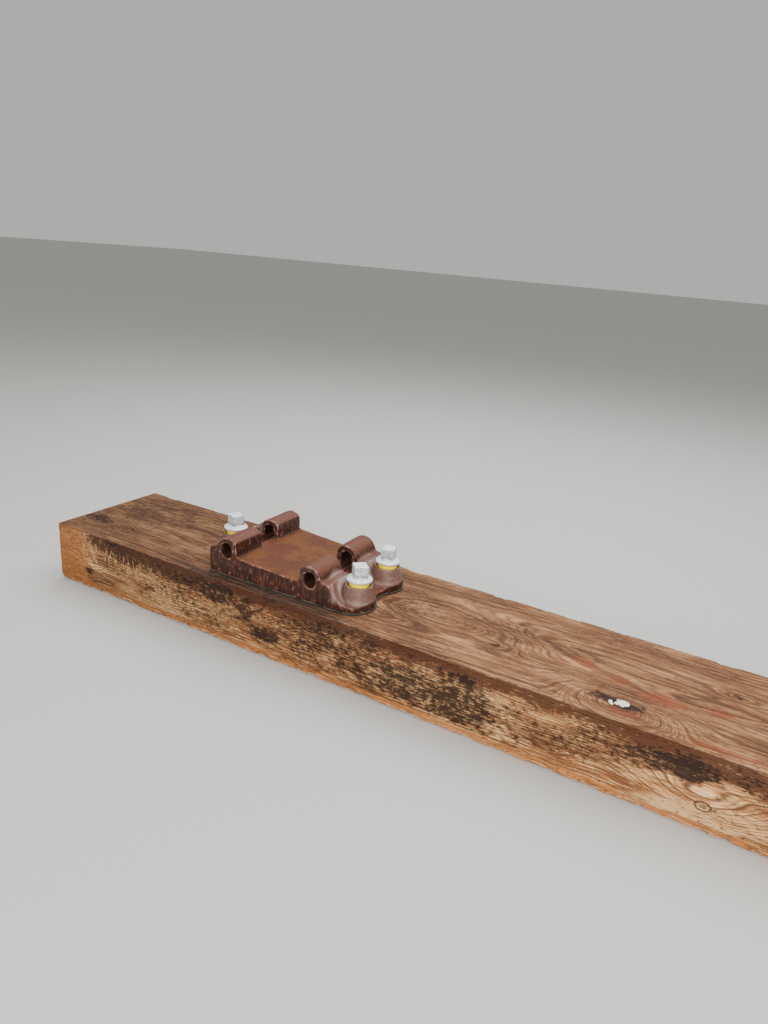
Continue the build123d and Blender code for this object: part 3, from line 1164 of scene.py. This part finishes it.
@dataclass
class CastPlate:
    """A cast baseplate: the solid's own shape with the soft edges and skin of a sand casting."""

    side: str
    voxel: float = 1.75
    passes: int = 4
    skin: float = 0.22
    seat_shift: float = 4.0
    tunnel_reach: float = 94.0
    tunnel_half: float = 12.5
    outer_tunnel: float = 182.0
    inner_tunnel: float = 175.0
    tunnel_rise: float = 16.0
    rim_radius: float = 16.5
    rim_width: float = 2.0

    def build(self, frame: dict) -> None:
        """Makes the plate over its CAD node.

        Args:
            frame: the loaded frame.
        """
        node = f"baseplate_{self.side}"
        low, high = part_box(f"pad_{self.side}")
        turned = 1 if self.side == "left" else -1
        middle = (low.x + high.x) / 2 / MM - turned * self.seat_shift
        bosses = []
        for name in HEAD_TURNS:
            foot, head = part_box(f"screw_{name}_{self.side}")
            bosses.append(Vector(((foot.x + head.x) / 2 / MM, (foot.y + head.y) / 2 / MM, 0)))
        iron = RustedIron().make(middle, bosses)
        merged = bmesh.new()
        merged.from_mesh(frame["nodes"][node].data)
        bmesh.ops.remove_doubles(merged, verts=merged.verts, dist=0.01 * MM)
        blank = put("casting blank", as_mesh("casting blank", merged))
        remesh = blank.modifiers.new("even skin", "REMESH")
        remesh.mode = "VOXEL"
        remesh.voxel_size = self.voxel * MM
        graph = bpy.context.evaluated_depsgraph_get()
        even = bpy.data.meshes.new_from_object(blank.evaluated_get(graph))
        bpy.data.objects.remove(blank)
        cast = bmesh.new()
        cast.from_mesh(even)
        every_way = {"use_axis_x": True, "use_axis_y": True, "use_axis_z": True}
        for _ in range(self.passes):
            bmesh.ops.smooth_vert(cast, verts=cast.verts, factor=0.5, **every_way)
        cast.normal_update()
        for vert in cast.verts:
            x, y, z = (c / MM for c in vert.co)
            lump = ripple(x / 14, y / 14, z / 14) + 0.6 * ripple(x / 5, y / 5, z / 5, 2.0)
            vert.co += vert.normal * lump * self.skin * MM
        for item in cast.faces:
            item.smooth = True
        piece = add_piece(f"cast_baseplate_{self.side}", cast, iron, node)
        self.mark_wear_and_light(piece.data, middle)

    def mark_wear_and_light(self, mesh: bpy.types.Mesh, middle: float) -> None:
        """Stores each point's rubbed, highlighted edge, hollow and tunnel shade as red, green and blue.

        Args:
            mesh: the cast mesh, which gets the colour attribute of wear and painted light.
            middle: where along the timber the middle of the seat is, in millimetres.
        """
        count = len(mesh.vertices)
        points = np.empty(count * 3, np.float32)
        normals = np.empty(count * 3, np.float32)
        edges = np.empty(len(mesh.edges) * 2, np.int32)
        mesh.vertices.foreach_get("co", points)
        mesh.vertices.foreach_get("normal", normals)
        mesh.edges.foreach_get("vertices", edges)
        points, normals, edges = points.reshape(-1, 3), normals.reshape(-1, 3), edges.reshape(-1, 2)
        # Along each edge the normals open on a ridge and close in a hollow.
        run = points[edges[:, 1]] - points[edges[:, 0]]
        run /= np.linalg.norm(run, axis=1, keepdims=True) + 1e-12
        bend = np.zeros(count)
        degree = np.zeros(count)
        for end, sign in ((0, -1.0), (1, 1.0)):
            np.add.at(bend, edges[:, end], sign * (normals[edges[:, end]] * run).sum(1))
            np.add.at(degree, edges[:, end], 1.0)
        bend /= np.maximum(degree, 1)
        for _ in range(3):
            spread = bend.copy()
            np.add.at(spread, edges[:, 0], bend[edges[:, 1]])
            np.add.at(spread, edges[:, 1], bend[edges[:, 0]])
            bend = spread / (degree + 1)
        colours = np.ones((count, 4), np.float32)
        colours[:, 0] = np.clip(bend * 6, 0, 1)
        colours[:, 1] = np.clip(-bend * 6, 0, 1)
        # The rim of each tunnel is rubbed and gets a painted highlight, and its lining gets painted
        # shade.
        inward = (points[:, 0] / MM - middle) * (1 if self.side == "left" else -1)
        beside = np.abs(inward) - self.tunnel_reach
        above = points[:, 2] / MM - np.where(inward < 0, self.outer_tunnel, self.inner_tunnel)
        rim = np.exp(-(((np.hypot(beside, above) - self.rim_radius) / self.rim_width) ** 2))
        rim *= np.clip(2 * np.abs(normals[:, 1]) - 0.8, 0, 1)
        colours[:, 0] = np.maximum(colours[:, 0], 0.6 * rim)
        tunnel_shade = (np.abs(beside) < self.tunnel_half) & (np.abs(above) < self.tunnel_rise)
        colours[:, 2] = 0.65 * tunnel_shade * np.clip(1.5 - 2.5 * np.abs(normals[:, 1]), 0, 1)
        layer = mesh.color_attributes.new("wear_and_painted_light", "FLOAT_COLOR", "POINT")
        layer.data.foreach_set("color", colours.ravel())


@dataclass
class CoachScrew:
    """A galvanised sleeper screw: square head, domed flange and plain shank."""

    node: str
    turn: float
    shank_radius: float = 11.0
    flange_radius: float = 24.0
    flange_edge: float = 3.5
    dome_radius: float = 15.0
    dome_height: float = 8.5
    head_width: float = 25.4
    head_height: float = 29.0
    head_edge: float = 1.4
    dip: float = 0.16

    def build(self, zinc: Material) -> None:
        """Makes the screw over its CAD node.

        Args:
            zinc: the material.
        """
        low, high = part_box(self.node)
        middle = (low + high) / 2
        seat = high.z / MM - self.head_height
        tip = low.z / MM
        rim, lip, dome = self.flange_radius, seat + self.flange_edge, seat + self.dome_height
        shank, shoulder = self.shank_radius, self.dome_radius
        profile = (
            (0.0, tip), (5.0, tip), (shank, tip + 8), (shank, seat),
            (rim - 1.2, seat), (rim, seat + 1.2), (rim, lip - 1), (rim - 0.9, lip + 0.3),
            (rim - 4.5, lip + 2.6), (shoulder + 1.6, dome - 1.2), (shoulder - 1.2, dome + 0.2),
            (shoulder - 4.0, dome + 1.4), (0.0, dome + 1.6),
        )
        turned = spun(profile, middle)
        head = bmesh.new()
        wide, tall = self.head_width * MM, high.z - lip * MM
        bmesh.ops.create_cube(head, size=1.0, matrix=Matrix.Diagonal((wide, wide, tall, 1)))
        for vert in head.verts:
            if vert.co.z > 0:
                vert.co.xy *= 0.99
        bmesh.ops.bevel(
            head,
            geom=head.edges[:],
            offset=self.head_edge * MM,
            segments=3,
            profile=0.5,
            affect="EDGES",
            material=-1,
        )
        bmesh.ops.subdivide_edges(head, edges=head.edges[:], cuts=3, use_grid_fill=True)
        place = Matrix.Translation((middle.x, middle.y, high.z - tall / 2))
        place @= Matrix.Rotation(math.radians(self.turn), 4, "Z")
        bmesh.ops.transform(head, verts=head.verts, matrix=place)
        turned.from_mesh(as_mesh("head", head))
        turned.normal_update()
        contact_shade = turned.verts.layers.float_color.new("contact_shade")
        for vert in turned.verts:
            x, y, z = (c / MM for c in vert.co)
            # Painted shade where head and flange meet, and on the flange's lip.
            corner_shade = smooth(abs(z - dome - 1.0), 5.5, 0.5) * smooth(abs(vert.normal.z), 1.0, 0.6)
            vert[contact_shade] = (corner_shade, smooth(z, lip, seat + 0.5), 0, 1)
            # The skin is lumpy from the flange's edge up to just under the top of the head.
            if z > seat + 0.5 and (high.z / MM - z) > 0.3:
                lump = ripple(x / 3.5, y / 3.5, z / 3.5)
                vert.co -= vert.normal * self.dip * (1 + lump) * MM
        add_piece("galvanised_" + self.node, turned, zinc, self.node, crease=40)


@dataclass
class Ferrule:
    """A yellow nylon ferrule: a collar on the boss and a sleeve down its hole."""

    node: str
    bore: float = 11.3
    sleeve_radius: float = 17.0
    collar_radius: float = 18.5
    collar_height: float = 9.5

    def build(self, nylon: Material) -> None:
        """Makes the ferrule over its CAD node.

        Args:
            nylon: the material.
        """
        low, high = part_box(self.node)
        foot, top = low.z / MM, high.z / MM
        shelf = top - self.collar_height
        sleeve, collar = self.sleeve_radius, self.collar_radius
        profile = (
            (self.bore, foot), (sleeve - 1, foot), (sleeve, foot + 1), (sleeve, shelf),
            (collar - 0.5, shelf), (collar, shelf + 0.5), (collar, top - 1.6),
            (collar - 0.5, top - 0.5), (collar - 1.6, top), (self.bore, top), (self.bore, foot),
        )
        turned = spun(profile, (low + high) / 2)
        add_piece("nylon_" + self.node, turned, nylon, self.node, crease=40)


@dataclass
class Studio:
    """A pale floor, soft light, and a camera at the photograph's viewpoint."""

    eye: tuple[float, float, float] = (-0.00672, -1.09259, 0.73122)
    right: tuple[float, float, float] = (0.86878383, 0.48851428, 0.08104607)
    up: tuple[float, float, float] = (-0.23088939, 0.25483277, 0.93901563)
    ahead: tuple[float, float, float] = (-0.43806935, 0.83451427, -0.33418735)
    lens: float = 25.3125
    sensor: float = 36.0
    near: float = 0.02
    floor_size: float = 40.0
    sky_strength: float = 0.6

    def build(self) -> None:
        """Sets up floor, light and camera."""
        slab = bmesh.new()
        bmesh.ops.create_grid(slab, x_segments=1, y_segments=1, size=self.floor_size)
        floor = put("floor", as_mesh("floor", slab))
        paint = Finish("pale floor")
        grain = paint.fractal(paint.mm, 30)
        floor.data.materials.append(paint.close("bfbeba", 0.85, grain, 0.05))
        world = bpy.data.worlds.new("soft sky")
        bpy.context.scene.world = world
        world.use_nodes = True
        sky = world.node_tree.nodes["Background"]
        sky.inputs[0].default_value = linear("f1f1ef")
        sky.inputs[1].default_value = self.sky_strength
        self.light("overhead", (-0.6, 0.9, 2.6), (-0.3, 0.0, 0.1), 3.0, 110.0)
        self.light("fill", (0.8, -2.6, 1.6), (-0.4, 0.0, 0.1), 2.2, 135.0)
        camera = bpy.data.cameras.new("camera")
        camera.lens = self.lens
        camera.sensor_width = self.sensor
        camera.clip_start = self.near
        holder = put("camera", camera)
        turn = Matrix((Vector(self.right), Vector(self.up), -Vector(self.ahead))).transposed()
        holder.matrix_world = Matrix.Translation(self.eye) @ turn.to_4x4()
        bpy.context.scene.camera = holder

    def light(
        self, name: str, place: Sequence[float], target: Sequence[float], size: float, power: float
    ) -> None:
        """Hangs one soft square light.

        Args:
            name: the light's name.
            place: where it hangs, in metres.
            target: the point it faces.
            size: its side, in metres.
            power: its power, in watts.
        """
        lamp = bpy.data.lights.new(name, "AREA")
        lamp.size = size
        lamp.energy = power
        holder = put(name, lamp)
        holder.location = place
        holder.rotation_euler = (Vector(target) - Vector(place)).to_track_quat("-Z", "Y").to_euler()


def main() -> None:
    """Loads the frame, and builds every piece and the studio."""
    logging.basicConfig(level=logging.INFO, format="%(name)s: %(message)s")
    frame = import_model()
    Studio().build()
    Timber().build()
    zinc, nylon, rubber = GalvanisedSteel().make(), MouldedNylon().make(), PadRubber().make()
    for side in ("left", "right"):
        CastPlate(side).build(frame)
        pad = frame["nodes"][f"pad_{side}"]
        pad.data.materials.clear()
        pad.data.materials.append(rubber)
        for name, turn in HEAD_TURNS.items():
            CoachScrew(f"screw_{name}_{side}", turn).build(zinc)
            Ferrule(f"ferrule_{name}_{side}").build(nylon)


if __name__ == "__main__":
    main()
